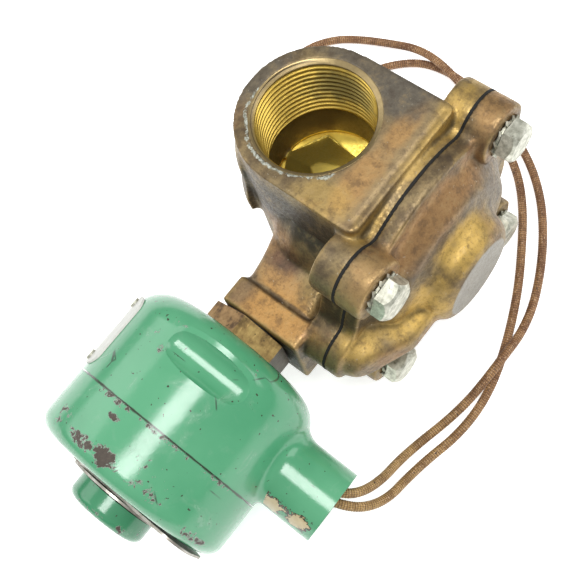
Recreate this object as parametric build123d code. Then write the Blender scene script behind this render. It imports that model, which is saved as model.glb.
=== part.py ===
"""Pilot-operated two-way solenoid valve with 1-1/4 inch NPT ports.

Frame: the origin is the centre of the outlet port's mouth, on the bottom face. +Z runs along the
ports to the inlet, -Y points out through the bonnet and -X out along the solenoid.
All lengths are in millimetres.
"""
import os
from math import cos, radians, sin, tan

from build123d import *

os.makedirs("parts", exist_ok=True)

BOTTOM = (Align.CENTER, Align.CENTER, Align.MIN)
TOWARD_BONNET = (0, -1, 0)
TOWARD_COVER = (-1, 0, 0)

# Ports: 1-1/4 inch NPT, 11.5 threads an inch
FACE_TO_FACE = 90.0
MID = FACE_TO_FACE / 2
THREAD_WALL_R = 20.6        # mean radius of the thread's root
THREAD_DEPTH = 25.5
THROAT_R = 19.2

# Body casting
BOSS_R = 26.0
PAD_FRONT = -34.5           # straight side of the D-shaped port faces
PAD_DEPTH = 22.0
DRUM_R = 34.0
CHAMBER_R = 22.5
CHAMBER_TOP = 48.5
FLOOR_TOP = 43.0            # upper side of the wall between inlet and outlet
FLOOR_BOTTOM = 38.5
EAVES_Z = 49.5
CROWN_Z = 62.5
ROOF_END_Y = -24.0

# Joint between body and bonnet
GASKET_Y = -37.8
FLANGE_BACK = -28.6
DIAPHRAGM_T = 1.0
BONNET_Y = GASKET_Y - DIAPHRAGM_T
PLATE_R = 43.2
EAR_TIP = -54.4
EAR_LOW = 29.5
EAR_HIGH = 53.0
EAR_CORNER = 11.5
BOLT_X = 32.0
BOLT_Z = 32.7
LUG_R = 10.6
BOLT_SEAT_Y = -48.0
POCKET_R = 27.5             # pressure chambers on both sides of the diaphragm
BOLTS = [(x, MID + z) for z in (BOLT_Z, -BOLT_Z) for x in (BOLT_X, -BOLT_X)]

# Main seat and moving disc
SEAT_Y = -35.0
SEAT_BORE_R = 14.3
SEAT_TUBE_R = 17.5
DISC_R = 17.0
STUD_R = 3.0
RETAINER_R = 16.5
RETAINER_T = 2.0
ROLL_R = 24.5               # mean radius of the diaphragm's rolled ring
BLEED_R = 19.6              # where the bleed eyelet sits

# Bonnet
BONNET_TOP_Y = -62.1
BONNET_PLATE_T = 5.2
SPRING_ROOM_R = 14.0
SPRING_ROOM_Y = -56.8

# Bonnet screws: 5/16 inch, 1/2 inch across flats
SCREW_R = 3.96
SCREW_FLATS = 12.7
SCREW_HEAD = 5.3
SCREW_TURNS = (-5, 7, 20, 8)
LOCK_WASHER_T = 1.5
SCREW_TIP_Y = -27.6

# Solenoid axis and stations
SOL_Y = -9.5
SOL_Z = 37.0
BLOCK_X = -57.0
BLOCK_BACK_X = -45.6
BASE_FLATS = 28.575         # 1-1/8 inch across flats
BASE_GAP = 0.6
HOUSING_X = -66.0
SEAM_X = -103.9
COVER_X = -126.0
HOUSING_R = 36.8
SHEET = 1.6
HOUSING_CORNER = 11.0
COVER_CORNER = 5.5
SEAM_GAP = 0.3
TUBE_R = 9.5
TUBE_INNER_R = 8.9
CORE_R = 8.82
CORE_TIP_X = -46.5
CORE_TOP_X = -92.5
STROKE = 2.5
SPRING_POCKET_R = 3.4
SPRING_POCKET = 14.0
STUD_TIP_X = -134.5
CAP_STUD_R = 4.72
CAP_R = 14.5
CAP_X = -129.5
CAP_LENGTH = 8.0

# Conduit hub, 1/2 inch NPT
HUB_X = -88.1
HUB_R = 13.4
HUB_BORE_R = 10.4
HUB_END = 57.6              # from the solenoid axis
HUB_TILT = radians(10)

# Lead wires
LEAD_R = 1.7
FLOOR_LEAD_Z = 1.8


def rod(start, end, radius):
    """A solid cylinder from one point to another."""
    start, end = Vector(*start), Vector(*end)
    return Plane(origin=start, z_dir=end - start) * Cylinder(radius, (end - start).length, align=BOTTOM)


def ring(start, end, outer, inner):
    """A tube from one point to another."""
    return rod(start, end, outer) - rod(start, end, inner)


def box(low, high):
    """A block between two opposite corners."""
    low, high = Vector(*low), Vector(*high)
    size = high - low
    return Pos(*((low + high) / 2)) * Box(size.X, size.Y, size.Z)


def turned(points, origin, axis):
    """Revolve a closed outline of (radius, distance along the axis) points."""
    outline = Plane.XZ * make_face(Polyline(*points, close=True))
    return Plane(origin=origin, z_dir=axis) * revolve(outline, Axis.Z)


def on_solenoid(x, radial_y=0.0, radial_z=0.0):
    """A point at station x, given from the solenoid axis."""
    return (x, SOL_Y + radial_y, SOL_Z + radial_z)


def joint_plane(y):
    """Sketch plane across the ports: sketch X is X, sketch Y is Z, extrusion goes to the bonnet."""
    return Plane(origin=(0, y, 0), x_dir=(1, 0, 0), z_dir=TOWARD_BONNET)


def sheet_cup(radius, length, corner):
    """A drawn sheet cup, closed at its bottom, with a rounded corner."""
    outer = Cylinder(radius, length, align=BOTTOM)
    outer = fillet(outer.edges().group_by(Axis.Z)[0], corner)
    inner = Cylinder(radius - SHEET, length, align=BOTTOM)
    inner = fillet(inner.edges().group_by(Axis.Z)[0], corner - SHEET)
    return outer - Pos(0, 0, SHEET) * inner


def coil_spring(start, axis, radius, wire, length, turns):
    """A compression spring, standing on its start point."""
    free = length - 2 * wire
    helix = Helix(pitch=free / turns, height=free, radius=radius)
    section = Plane(origin=helix @ 0, z_dir=helix % 0) * Circle(wire)
    spring = Pos(0, 0, wire) * sweep(section, path=helix, is_frenet=True)
    return Plane(origin=start, z_dir=axis) * spring


def ear_outline():
    """The ear that carries the pilot passage across the joint."""
    length, height = -EAR_TIP, EAR_HIGH - EAR_LOW
    return Pos(EAR_TIP / 2, (EAR_LOW + EAR_HIGH) / 2) * RectangleRounded(length, height, EAR_CORNER)


def flange_outline():
    """Round plate with four lugs and the pilot ear, its inner corners filled round."""
    outline = Pos(0, MID) * Circle(PLATE_R) + ear_outline()
    for x, z in BOLTS:
        outline += Pos(x, z) * Circle(LUG_R)
    fill = 4.0
    return offset(offset(outline, fill), -fill)


def solid_loft(low_points, low_z, high_points, high_z):
    """A straight-sided solid between two polygons with the same number of corners."""
    low = Pos(0, 0, low_z) * make_face(Polyline(*low_points, close=True))
    high = Pos(0, 0, high_z) * make_face(Polyline(*high_points, close=True))
    return loft([low.face(), high.face()], ruled=True)


def duct_roof(shrink, drop):
    """Upright walls and faceted roof of the outlet duct, which stands up into the inlet chamber."""
    eaves = [(-0.5, 18.9), (13.0, 10.9), (11.5, -4.0), (15.0, ROOF_END_Y), (-15.0, ROOF_END_Y), (-10.5, 13.5)]
    crown = [(-5.0, 3.0), (-2.1, 1.5), (2.0, -8.0), (7.0, ROOF_END_Y), (-7.0, ROOF_END_Y), (-8.0, -2.0)]

    def shrunk(points):
        return [(x * shrink, ROOF_END_Y + (y - ROOF_END_Y) * shrink) for x, y in points]

    outline = make_face(Polyline(*shrunk(eaves), close=True))
    walls = Pos(0, 0, FLOOR_BOTTOM - drop) * extrude(outline, EAVES_Z - FLOOR_BOTTOM)
    return walls + solid_loft(shrunk(eaves), EAVES_Z - drop, shrunk(crown), CROWN_Z - drop)


def port_pad(low_z):
    """The square side of a D-shaped port face."""
    pad = box((-BOSS_R, PAD_FRONT, low_z), (BOSS_R, 0, low_z + PAD_DEPTH))
    return fillet(pad.edges().filter_by(Axis.Z).group_by(Axis.Y)[0], 2.5)


def barrel():
    """Casting round both ports, with a thicker wall on the far side of the inlet."""
    land_r, land_y = 29.8, 13.5
    outline = [
        (0, 46.0),
        (24.0, 46.0),
        (29.4, 51.5),
        (land_r, 58.0),
        (28.2, 67.0),
        (28.0, 78.0),
        (BOSS_R, 84.0),
        (0, 84.0),
    ]
    land = turned(outline, (0, 0, 0), (0, 0, 1)) & box((-land_r, land_y, 0), (land_r, land_r, FACE_TO_FACE))
    return Cylinder(BOSS_R, FACE_TO_FACE, align=BOTTOM) + land


def drum():
    """Casting round the pressure chamber, which tapers off toward the barrel."""
    outline = [(0, 0), (DRUM_R, 0), (DRUM_R, 20.0), (31.5, 28.0), (26.0, 34.0), (0, 34.0)]
    return turned(outline, (0, FLANGE_BACK, MID), (0, 1, 0))


def neck():
    """Casting between the barrel and the pilot block."""
    sections = [
        (-45.8, -14.2, 30.0, 35.0, 30.0),
        (-35.0, -12.9, 29.2, 35.5, 33.0),
        (-18.0, -10.2, 31.6, 37.0, 44.0),
    ]
    faces = []
    for x, y, width, z, height in sections:
        plane = Plane(origin=(x, y, z), x_dir=(0, 1, 0), z_dir=TOWARD_COVER)
        faces.append((plane * RectangleRounded(width, height, 5)).face())
    return loft(faces)


def pilot_block():
    """Square block that the solenoid screws into."""
    block = box((BLOCK_X, -29.8, 19.1), (BLOCK_BACK_X, 2.1, 50.6))
    return fillet(block.edges().filter_by(Axis.X), 1.2)


def port_bore(mouth_z, axis_z, throat_end):
    """Threaded bore and smooth throat of one port."""
    outline = [
        (0, 0),
        (THREAD_WALL_R, 0),
        (THREAD_WALL_R, THREAD_DEPTH),
        (THROAT_R, THREAD_DEPTH),
        (THROAT_R, throat_end),
        (0, throat_end),
    ]
    return turned(outline, (0, 0, mouth_z), (0, 0, axis_z))


def inlet_passage():
    """Inlet bore, low chamber round the duct and the ring-shaped pocket around the main seat."""
    bore = port_bore(FACE_TO_FACE, -1, FACE_TO_FACE - FLOOR_TOP)
    chamber = Pos(0, 0, MID) * Sphere(CHAMBER_R)
    chamber &= box((-CHAMBER_R, -CHAMBER_R, FLOOR_TOP), (CHAMBER_R, CHAMBER_R, CHAMBER_TOP))
    way = rod((0, GASKET_Y, MID), (0, -12, MID), POCKET_R - 3)
    way &= box((-POCKET_R, GASKET_Y, FLOOR_TOP), (POCKET_R, 0, FACE_TO_FACE))
    pocket = rod((0, GASKET_Y - 1, MID), (0, -24.0, MID), POCKET_R)
    duct = rod((0, SEAT_Y, MID), (0, -20, MID), SEAT_TUBE_R) + duct_roof(1.0, 0.0)
    return bore + chamber + way + pocket - duct


def outlet_passage():
    """Seat bore, the hollow under the duct's roof and the outlet bore."""
    seat = rod((0, SEAT_Y - 1, MID), (0, -19, MID), SEAT_BORE_R)
    return port_bore(0, 1, FLOOR_BOTTOM) + seat + duct_roof(0.78, 3.2)


def pilot_passages():
    """Pilot chamber, the bore for the pilot seat and the drillings to it."""
    supply_x = -48.5
    passages = rod(on_solenoid(BLOCK_X - 1), on_solenoid(BLOCK_X + 12), 11.2)
    passages += rod(on_solenoid(BLOCK_X + 11), on_solenoid(-39), 3.0)
    passages += rod(on_solenoid(-40), on_solenoid(-17), 1.2)
    passages += rod((supply_x, GASKET_Y - 1, SOL_Z), (supply_x, SOL_Y - 8, SOL_Z), 2.0)
    return passages


def valve_body():
    """Bronze body casting with both ports, the main seat and the pilot block."""
    body = barrel() + drum()
    body += port_pad(0)
    body += port_pad(FACE_TO_FACE - PAD_DEPTH)
    body += neck()
    body += pilot_block()
    body += extrude(joint_plane(FLANGE_BACK) * flange_outline(), FLANGE_BACK - GASKET_Y)
    body -= inlet_passage()
    body -= outlet_passage()
    body -= pilot_passages()
    for x, z in BOLTS:
        body -= rod((x, GASKET_Y - 1, z), (x, SCREW_TIP_Y + 1, z), SCREW_R + 0.02)
    return body


def bonnet_arm():
    """Tapered arm over the pilot passage, cut off at a slope toward the ear's tip and rounded."""
    top_y, tip_y, shoulder_x = -58.2, -47.0, -31.0
    taper, slope_length, rounding = 20, 40, 3.5
    arm = extrude(joint_plane(BONNET_Y) * ear_outline(), BONNET_Y - top_y, taper=taper)
    downhill = (EAR_TIP - shoulder_x, tip_y - top_y, 0)
    slope = Plane(origin=(shoulder_x, top_y, SOL_Z), x_dir=downhill, z_dir=(0, 0, 1))
    arm -= slope * Pos(0, slope_length / 2, 0) * Box(3 * slope_length, slope_length, 60)
    return fillet(arm.edges().filter_by(lambda edge: edge.center().Y < BONNET_Y - 6), rounding)


def bonnet():
    """Bonnet casting: dome with a machined boss, and the arm that holds the pilot passage."""
    height = BONNET_Y - BONNET_TOP_Y
    dome = turned(
        [
            (0, 0),
            (38.0, 0),
            (38.0, BONNET_PLATE_T),
            (36.0, 6.2),
            (30.0, 12.2),
            (25.0, 13.2),
            (21.8, 14.3),
            (20.3, 16.5),
            (19.5, height - 4.0),
            (17.5, height - 1.2),
            (14.5, height),
            (0, height),
        ],
        (0, BONNET_Y, MID),
        TOWARD_BONNET,
    )
    arm = bonnet_arm()
    casting = extrude(joint_plane(BONNET_Y) * flange_outline(), BONNET_PLATE_T) + dome + arm
    for x, z in BOLTS:
        casting += rod((x, BONNET_Y, z), (x, BOLT_SEAT_Y, z), LUG_R)
    depth = BONNET_Y - SPRING_ROOM_Y
    hollow = [
        (0, -1),
        (POCKET_R, -1),
        (POCKET_R, 4.5),
        (19.0, 9.4),
        (SPRING_ROOM_R, 9.8),
        (SPRING_ROOM_R, depth),
        (0, depth),
    ]
    casting -= turned(hollow, (0, BONNET_Y, MID), TOWARD_BONNET)
    pilot_x, pilot_y = -48.5, -44.5
    casting -= rod((pilot_x, BONNET_Y + 1, SOL_Z), (pilot_x, pilot_y, SOL_Z), 2.0)
    casting -= rod((pilot_x, pilot_y, SOL_Z), (-18, pilot_y, SOL_Z), 1.6)
    for x, z in BOLTS:
        casting -= rod((x, BONNET_Y + 1, z), (x, BOLT_SEAT_Y - 1, z), SCREW_R + 0.3)
    return casting


def diaphragm():
    """Rubber diaphragm: clamped sheet, rolled ring and flat middle."""
    roll_height, roll_t = 2.5, DIAPHRAGM_T
    plane = Plane(origin=(0, GASKET_Y, MID), z_dir=TOWARD_BONNET)
    roll = Torus(ROLL_R, roll_height) - Torus(ROLL_R, roll_height - roll_t)
    roll &= Cylinder(ROLL_R + 4, roll_height + 1, align=BOTTOM)
    sheet = extrude(joint_plane(GASKET_Y) * flange_outline(), DIAPHRAGM_T)
    sheet -= rod((0, GASKET_Y + 1, MID), (0, GASKET_Y - 3, MID), ROLL_R + 2)
    middle = rod((0, GASKET_Y, MID), (0, BONNET_Y, MID), ROLL_R - 2)
    rubber = sheet + middle + plane * roll
    rubber -= rod((0, GASKET_Y + 1, MID), (0, BONNET_Y - 1, MID), STUD_R + 0.05)
    rubber -= rod((0, GASKET_Y + 1, MID + BLEED_R), (0, BONNET_Y - 1, MID + BLEED_R), 1.35)
    rubber -= rod((-48.5, GASKET_Y + 1, SOL_Z), (-48.5, BONNET_Y - 1, SOL_Z), 2.0)
    for x, z in BOLTS:
        rubber -= rod((x, GASKET_Y + 1, z), (x, BONNET_Y - 1, z), SCREW_R + 0.1)
    return rubber


def bleed_eyelet():
    """Brass eyelet in the diaphragm, which lets inlet pressure into the bonnet."""
    eyelet = turned(
        [(0.5, -0.4), (2.4, -0.4), (2.4, 0), (1.3, 0), (1.3, 1.0), (2.4, 1.0), (2.4, 1.4), (0.5, 1.4)],
        (0, GASKET_Y, MID + BLEED_R),
        TOWARD_BONNET,
    )
    return eyelet


def seat_disc():
    """Rubber disc that closes the main seat."""
    return ring((0, SEAT_Y, MID), (0, GASKET_Y, MID), DISC_R, STUD_R + 0.05)


def disc_washer():
    """Brass washer that holds the rubber disc up against the diaphragm."""
    return ring((0, SEAT_Y + 1.8, MID), (0, SEAT_Y, MID), 10.0, STUD_R + 0.05)


def diaphragm_plate():
    """Brass plate on the bonnet side of the diaphragm; the main spring stands on it."""
    plate = ring((0, BONNET_Y, MID), (0, BONNET_Y - RETAINER_T, MID), RETAINER_R, STUD_R + 0.05)
    return plate


def disc_stud():
    """Stud with a hexagon head that clamps the moving disc together."""
    head = Plane(origin=(0, SEAT_Y + 1.8, MID), z_dir=(0, 1, 0)) * extrude(RegularPolygon(5.0, 6), 3.0)
    shank = rod((0, SEAT_Y + 1.8, MID), (0, BONNET_Y - RETAINER_T - 4.2, MID), STUD_R)
    return head + shank


def stud_nut():
    """Nut on the bonnet side of the moving disc."""
    top = BONNET_Y - RETAINER_T
    nut = Plane(origin=(0, top, MID), z_dir=TOWARD_BONNET) * extrude(RegularPolygon(5.4, 6), 3.4)
    return nut - rod((0, top + 1, MID), (0, top - 4, MID), STUD_R + 0.02)


def main_spring():
    """Spring that pushes the main disc onto its seat."""
    start = BONNET_Y - RETAINER_T
    return coil_spring((0, start, MID), TOWARD_BONNET, 9.0, 0.6, start - SPRING_ROOM_Y, 4.5)


def bonnet_screws():
    """Four hexagon head screws, which run through the bonnet into the body's lugs."""
    head_y = BOLT_SEAT_Y - LOCK_WASHER_T
    flat_r = SCREW_FLATS / 2
    rounding = [
        (0, 0),
        (flat_r + 1, 0),
        (flat_r + 1, SCREW_HEAD - 1.7),
        (flat_r - 0.7, SCREW_HEAD),
        (0, SCREW_HEAD),
    ]
    screws = []
    for (x, z), turn in zip(BOLTS, SCREW_TURNS):
        hexagon = Pos(x, z) * RegularPolygon(flat_r, 6, major_radius=False, rotation=turn)
        head = extrude(joint_plane(head_y) * hexagon, SCREW_HEAD)
        head &= turned(rounding, (x, head_y, z), TOWARD_BONNET)
        screws.append(head + rod((x, head_y, z), (x, SCREW_TIP_Y, z), SCREW_R))
    return Compound(children=screws)


def lock_washers():
    """Four external tooth lock washers with twisted teeth."""
    teeth = 12
    washers = []
    for x, z in BOLTS:
        middle = BOLT_SEAT_Y - LOCK_WASHER_T / 2
        washer = ring((x, middle + 0.4, z), (x, middle - 0.4, z), 6.0, SCREW_R + 0.25)
        plane = Plane(origin=(x, middle, z), z_dir=TOWARD_BONNET)
        tooth = Pos(6.3, 0, 0) * Rot(32, 0, 0) * Box(1.9, 1.7, 0.7)
        for step in range(teeth):
            washer += plane * (Rot(0, 0, step * 360 / teeth) * tooth)
        washers.append(washer)
    return Compound(children=washers)


def pilot_seat():
    """Brass insert with the pilot orifice."""
    insert = rod(on_solenoid(-39.5), on_solenoid(BLOCK_X + 12), 2.98)
    insert += rod(on_solenoid(BLOCK_X + 12), on_solenoid(CORE_TIP_X + 0.02), 2.2)
    return insert - rod(on_solenoid(-39), on_solenoid(-48), 0.8)


def base_gasket():
    """Seal ring between the pilot block and the solenoid base."""
    return ring(on_solenoid(BLOCK_X), on_solenoid(BLOCK_X - BASE_GAP), 13.2, 11.3)


def solenoid_base():
    """Brass base with its hexagon, screwed into the pilot block."""
    hex_x = BLOCK_X - BASE_GAP
    plane = Plane(origin=on_solenoid(hex_x), x_dir=(0, 0, 1), z_dir=TOWARD_COVER)
    hexagon = extrude(RegularPolygon(BASE_FLATS / 2, 6, major_radius=False), hex_x - HOUSING_X)
    base = plane * hexagon + rod(on_solenoid(hex_x), on_solenoid(BLOCK_X + 5.5), 11.15)
    base -= rod(on_solenoid(BLOCK_X + 6), on_solenoid(BLOCK_X - 1.5), TUBE_INNER_R + 0.05)
    return base - rod(on_solenoid(BLOCK_X - 1.5), on_solenoid(HOUSING_X - 1), TUBE_R + 0.02)


def core_tube():
    """Thin stainless tube that the core slides in."""
    return ring(on_solenoid(BLOCK_X - 1.5), on_solenoid(-119), TUBE_R, TUBE_INNER_R)


def fixed_core():
    """Fixed magnetic stop in the tube's end, with the stud that holds the housing on."""
    face_x = CORE_TOP_X - STROKE
    stop = rod(on_solenoid(face_x), on_solenoid(-119), TUBE_INNER_R - 0.02)
    stop += rod(on_solenoid(-119), on_solenoid(-123.5), TUBE_R)
    return stop + rod(on_solenoid(-123.5), on_solenoid(STUD_TIP_X), CAP_STUD_R)


def moving_core():
    """Magnetic plunger with pockets for its rubber tip and its spring, and two relief flats."""
    core = rod(on_solenoid(CORE_TIP_X - 0.3), on_solenoid(CORE_TOP_X), CORE_R)
    core = chamfer(core.edges().filter_by(GeomType.CIRCLE), 0.5)
    core -= rod(on_solenoid(CORE_TIP_X), on_solenoid(CORE_TIP_X - 2.5), SPRING_POCKET_R)
    core -= rod(on_solenoid(CORE_TOP_X + SPRING_POCKET), on_solenoid(CORE_TOP_X - 1), SPRING_POCKET_R)
    relief = 8.2
    for side in (1, -1):
        core -= box(
            (CORE_TOP_X - 1, SOL_Y + min(side * relief, side * 10), SOL_Z - 5),
            (CORE_TIP_X + 1, SOL_Y + max(side * relief, side * 10), SOL_Z + 5),
        )
    return core


def core_disc():
    """Rubber tip of the plunger, which closes the pilot orifice."""
    return rod(on_solenoid(CORE_TIP_X), on_solenoid(CORE_TIP_X - 2.5), SPRING_POCKET_R)


def core_spring():
    """Return spring between the plunger and the fixed core."""
    start = CORE_TOP_X + SPRING_POCKET
    length = SPRING_POCKET + STROKE
    return coil_spring(on_solenoid(start), TOWARD_COVER, 2.6, 0.35, length, 8)


def coil_bobbin():
    """Moulded bobbin of the coil."""
    low, high, flange_r, flange_t = -72.1, -120.2, 25.0, 1.0
    bobbin = rod(on_solenoid(low), on_solenoid(high), TUBE_R + 1.1)
    bobbin += rod(on_solenoid(low), on_solenoid(low - flange_t), flange_r)
    bobbin += rod(on_solenoid(high + flange_t), on_solenoid(high), flange_r)
    return bobbin - rod(on_solenoid(low + 1), on_solenoid(high - 1), TUBE_R + 0.1)


def coil_winding():
    """Copper winding with its taped outside."""
    return ring(on_solenoid(-73.1), on_solenoid(-119.2), 24.5, TUBE_R + 1.1)


def insulating_washers():
    """Two fibre washers between the coil and the yoke."""
    washers = [
        ring(on_solenoid(-71.3), on_solenoid(-72.1), 22.0, TUBE_R + 0.1),
        ring(on_solenoid(-120.2), on_solenoid(-121.1), 22.0, TUBE_R + 0.1),
    ]
    return Compound(children=washers)


def yoke():
    """Steel strap that carries the magnetic field around the coil."""
    half_y, half_z, strap = 12.0, 28.5, 3.0
    low_x, high_x = -68.2, -124.3
    frame = box((high_x, SOL_Y - half_y, SOL_Z - half_z), (low_x, SOL_Y + half_y, SOL_Z + half_z))
    window_z = half_z - strap
    frame -= box(
        (high_x + strap + 0.2, SOL_Y - half_y - 1, SOL_Z - window_z),
        (low_x - strap - 0.1, SOL_Y + half_y + 1, SOL_Z + window_z),
    )
    return frame - rod(on_solenoid(low_x + 1), on_solenoid(high_x - 1), TUBE_R + 0.05)


def hub_point(distance):
    """A point on the conduit hub's axis, at a distance from the solenoid axis."""
    return on_solenoid(HUB_X, -distance * cos(HUB_TILT), -distance * sin(HUB_TILT))


def dimple(radius):
    """Rounded tool shape that presses the long dimple into the housing."""
    angle, x, reach, half = radians(104), -80.3, HOUSING_R + 3.2, 12.0
    centre = Vector(*on_solenoid(x, reach * cos(angle), reach * sin(angle)))
    along = Vector(0, -sin(angle), cos(angle)) * half
    low, high = centre - along, centre + along
    tool = rod(low, high, radius)
    for end in (low, high):
        tool += Pos(*end) * Sphere(radius)
    return tool


def plate_pins_at():
    """Places of the side plate's pins, as (x, angle) around the housing."""
    return [(x, radians(angle)) for x in (-76.6, -98.8) for angle in (31, -31)]


def housing():
    """Drawn steel housing that covers the coil, with the pressed dimple and the hub's hole."""
    dimple_r = 7.0
    cup = sheet_cup(HOUSING_R, HOUSING_X - SEAM_X, HOUSING_CORNER)
    shell = Plane(origin=on_solenoid(HOUSING_X), z_dir=TOWARD_COVER) * cup
    whole = rod(on_solenoid(HOUSING_X), on_solenoid(SEAM_X), HOUSING_R)
    shell += dimple(dimple_r + SHEET) & whole
    shell -= dimple(dimple_r)
    shell -= rod(on_solenoid(HOUSING_X + 1), on_solenoid(HOUSING_X - 3), TUBE_R + 0.1)
    shell -= rod(hub_point(20), hub_point(50), HUB_BORE_R)
    for x, angle in plate_pins_at():
        shell -= pin_rod(x, angle, 30, 40, 1.1)
    return shell


def pin_rod(x, angle, low, high, radius):
    """A rod along a radius of the housing."""
    start = on_solenoid(x, low * cos(angle), low * sin(angle))
    end = on_solenoid(x, high * cos(angle), high * sin(angle))
    return rod(start, end, radius)


def conduit_hub():
    """Hub with a female conduit thread, welded to the housing's side."""
    hub = ring(hub_point(25), hub_point(HUB_END), HUB_R, HUB_BORE_R)
    return hub - rod(on_solenoid(HOUSING_X), on_solenoid(COVER_X), HOUSING_R)


def housing_cover():
    """Drawn steel end cover with a raised middle and a lip inside the housing."""
    length = SEAM_X - SEAM_GAP - COVER_X
    cup = sheet_cup(HOUSING_R, length, COVER_CORNER)
    boss_h, boss_r = 1.1, 10.0
    cover = Plane(origin=on_solenoid(COVER_X), z_dir=(1, 0, 0)) * cup
    cover += rod(on_solenoid(COVER_X + SHEET), on_solenoid(COVER_X - boss_h), boss_r)
    cover -= rod(on_solenoid(COVER_X + SHEET + 1), on_solenoid(COVER_X - 3), CAP_STUD_R + 0.2)
    wall_r = HOUSING_R - SHEET
    lip = ring(on_solenoid(SEAM_X + 4), on_solenoid(SEAM_X - 5), wall_r - 0.05, wall_r - 1.2)
    root = ring(on_solenoid(SEAM_X - SEAM_GAP - 0.2), on_solenoid(SEAM_X - 5), wall_r + 0.1, wall_r - 1.2)
    return cover + lip + root


def side_plate():
    """Blank plate curved round the housing's far side."""
    gap, thickness = 0.05, 0.6
    middle_x, width, height = -87.7, 28.2, 53.0
    shell = ring(on_solenoid(HOUSING_X), on_solenoid(SEAM_X), HOUSING_R + gap + thickness, HOUSING_R + gap)
    plane = Plane(origin=(middle_x, SOL_Y, SOL_Z), x_dir=(1, 0, 0), z_dir=(0, 1, 0))
    plate = shell & plane * extrude(RectangleRounded(width, height, 5), HOUSING_R + 5)
    for x, angle in plate_pins_at():
        plate -= pin_rod(x, angle, 30, 40, 1.1)
    return plate


def plate_pins():
    """Four drive pins that hold the side plate."""
    pins = []
    for x, angle in plate_pins_at():
        head_low = HOUSING_R + 0.65
        shank = pin_rod(x, angle, 34.5, head_low, 1.08)
        pins.append(shank + pin_rod(x, angle, head_low, head_low + 0.7, 1.9))
    return Compound(children=pins)


def end_plate():
    """Loose blank plate under the cap, off centre toward the hub."""
    low_x, thickness = COVER_X - 1.15, 0.8
    plane = Plane(origin=(low_x, SOL_Y - 7, SOL_Z), x_dir=(0, 1, 0), z_dir=TOWARD_COVER)
    plate = plane * extrude(RectangleRounded(51, 30, 9), thickness)
    return plate - rod(on_solenoid(low_x + 1), on_solenoid(low_x - 2), 5.3)


def dished_washer():
    """Dished spring washer between the loose plate and the cap."""
    start = COVER_X - 2.0
    outline = [(5.3, 0.7), (19.0, 0.0), (19.0, 0.8), (5.3, 1.45)]
    return turned(outline, on_solenoid(start), TOWARD_COVER)


def retaining_cap():
    """Domed cap nut that clamps the housing to the core tube."""
    cap = Cylinder(CAP_R, CAP_LENGTH, align=BOTTOM)
    cap = fillet(cap.edges().group_by(Axis.Z)[-1], 3.0)
    cap = Plane(origin=on_solenoid(CAP_X), z_dir=TOWARD_COVER) * cap
    return cap - rod(on_solenoid(CAP_X + 1), on_solenoid(STUD_TIP_X - 0.3), CAP_STUD_R + 0.03)


LEAD_A = [
    (-85.2, -34.4, 34.0), (-84.8, -42.5, 32.6), (-84.6, -50.5, 31.0), (-84.4, -58.5, 29.2),
    (-83.0, -65.5, 27.0), (-78.0, -70.0, 22.5), (-69.5, -71.6, 15.0), (-60.0, -71.2, 7.4),
    (-49.5, -72.6, 2.9), (-37.5, -75.6, 2.0), (-26.5, -77.8, 4.0), (-16.5, -78.8, 7.6),
    (-6.0, -78.9, 7.6), (4.5, -78.6, 4.0), (17.0, -76.0, FLOOR_LEAD_Z), (31.0, -70.2, FLOOR_LEAD_Z),
    (45.0, -62.2, FLOOR_LEAD_Z), (57.5, -52.6, FLOOR_LEAD_Z), (68.0, -40.5, FLOOR_LEAD_Z),
    (76.5, -25.0, FLOOR_LEAD_Z), (82.0, -8.5, FLOOR_LEAD_Z), (85.0, 8.0, FLOOR_LEAD_Z),
    (83.0, 21.5, FLOOR_LEAD_Z), (76.0, 31.0, FLOOR_LEAD_Z), (66.0, 38.5, FLOOR_LEAD_Z),
    (55.0, 46.0, FLOOR_LEAD_Z), (43.0, 49.5, FLOOR_LEAD_Z), (31.5, 48.0, FLOOR_LEAD_Z),
    (21.0, 47.0, FLOOR_LEAD_Z), (11.5, 51.0, FLOOR_LEAD_Z),
]

LEAD_B = [
    (-89.6, -34.8, 30.6), (-89.2, -43.0, 29.4), (-88.6, -51.0, 27.8), (-87.6, -59.0, 26.2),
    (-85.8, -67.0, 24.0), (-81.0, -73.5, 18.6), (-73.0, -76.6, 11.4), (-63.0, -76.8, 5.2),
    (-52.0, -78.4, 2.2), (-41.0, -81.2, FLOOR_LEAD_Z), (-29.0, -82.2, FLOOR_LEAD_Z),
    (-17.0, -80.9, FLOOR_LEAD_Z), (-5.0, -77.6, FLOOR_LEAD_Z), (7.5, -73.0, FLOOR_LEAD_Z),
    (21.0, -67.0, FLOOR_LEAD_Z), (34.5, -59.4, FLOOR_LEAD_Z), (47.5, -51.4, FLOOR_LEAD_Z),
    (59.0, -42.0, FLOOR_LEAD_Z), (68.0, -30.0, FLOOR_LEAD_Z), (74.6, -15.5, 2.6),
    (79.8, -1.0, 6.0), (83.6, 13.0, 7.6), (84.8, 25.5, 6.4), (83.2, 37.5, 2.8),
    (79.0, 49.5, FLOOR_LEAD_Z), (73.0, 60.0, FLOOR_LEAD_Z), (63.5, 67.5, FLOOR_LEAD_Z),
    (52.0, 70.0, FLOOR_LEAD_Z), (41.0, 68.5, FLOOR_LEAD_Z), (31.5, 62.5, FLOOR_LEAD_Z),
]


def corner_radii(points):
    """The largest arc that each corner's two runs allow."""
    radii = []
    for before, corner, after in zip(points, points[1:], points[2:]):
        run_in, run_out = Vector(*corner) - Vector(*before), Vector(*after) - Vector(*corner)
        turn = radians(run_in.get_angle(run_out))
        radii.append(0.45 * min(run_in.length, run_out.length) / tan(turn / 2))
    return radii


def lead_path(points):
    """Straight runs joined by tangent arcs."""
    return FilletPolyline(*points, radius=corner_radii(points))


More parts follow.
